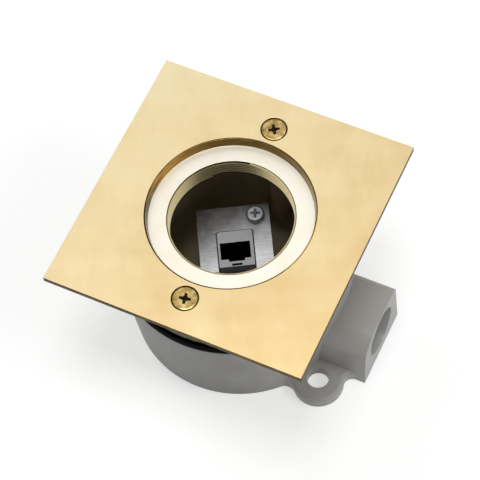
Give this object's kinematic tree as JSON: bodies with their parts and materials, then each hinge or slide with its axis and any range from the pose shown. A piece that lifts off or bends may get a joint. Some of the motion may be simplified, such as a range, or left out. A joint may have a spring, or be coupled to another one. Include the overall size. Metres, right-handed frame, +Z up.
{
  "type": "floor socket box",
  "caption": "Floor socket box: round cast cup with a conduit entry and fixing ears, a square brass cover with a threaded opening, and a data jack on a bracket inside.",
  "frame": {"origin": "centre of the cup's underside, on the axis of the round cup and of the threaded opening", "axes": "+Z up along that axis, out of the opening; +X out of the conduit entry; the cover plate's edges are parallel to X and Y"},
  "size_m": [0.1206, 0.11, 0.0717],
  "materials": {
    "grey_casting": "satin grey coating on an aluminium casting",
    "black_rubber": "matt black rubber",
    "plate_brass": "fine-ground brass",
    "ring_brass": "turned brass",
    "screw_brass": "brass, slightly darker",
    "brass_turned": "turned brass",
    "bracket_steel": "brushed steel",
    "plated_steel": "zinc plated",
    "jack_plastic": "light grey moulded plastic",
    "black_plastic": "black moulded plastic",
    "contact_metal": "gold-plated spring alloy",
    "board": "green circuit board"
  },
  "bodies": {
    "base": {"box_body": "grey_casting", "rim_gasket": "black_rubber", "standoff_1": "brass_turned", "standoff_2": "brass_turned", "bracket_plate": "bracket_steel", "bracket_screw_1": "plated_steel", "bracket_screw_2": "plated_steel", "jack_housing": "jack_plastic", "contact_carrier": "black_plastic", "contact_tails": "contact_metal", "jack_board": "board", "idc_block": "black_plastic", "idc_terminals": "contact_metal", "idc_cap": "jack_plastic", "earth_clamp": "plated_steel", "earth_screw": "plated_steel"},
    "cover": {"cover_plate": "plate_brass", "thread_ring": "ring_brass", "ring_seal": "black_rubber", "collar_ring": "grey_casting"},
    "screw_1": {"cover_screw_1": "screw_brass"},
    "screw_2": {"cover_screw_2": "screw_brass"},
    "contacts": {"contact_springs": "contact_metal"},
    "latch": {"jack_latch": "jack_plastic"}
  },
  "joints": [
    {"name": "cover_lift", "type": "slide", "parent": "base", "child": "cover", "axis": [0, 0, 1], "range_m": [0, 0.035]},
    {"name": "cover_screw_1_turn", "type": "hinge", "parent": "cover", "child": "screw_1", "pos_m": [0, 0.0414, 0.0717], "axis": [0, 0, 1], "continuous": true},
    {"name": "cover_screw_2_turn", "type": "hinge", "parent": "cover", "child": "screw_2", "pos_m": [0, -0.0414, 0.0717], "axis": [0, 0, 1], "continuous": true},
    {"name": "contact_flex", "type": "hinge", "parent": "base", "child": "contacts", "pos_m": [-0.00146, 0.00254, 0.03877], "axis": [0.8678, 0.497, 0], "range_deg": [0, 14], "stiffness_Nm_per_rad": 0.02},
    {"name": "latch_flex", "type": "hinge", "parent": "base", "child": "latch", "pos_m": [0.00413, -0.0072, 0.0266], "axis": [-0.8678, -0.497, 0], "range_deg": [0, 10], "stiffness_Nm_per_rad": 0.3}
  ]
}
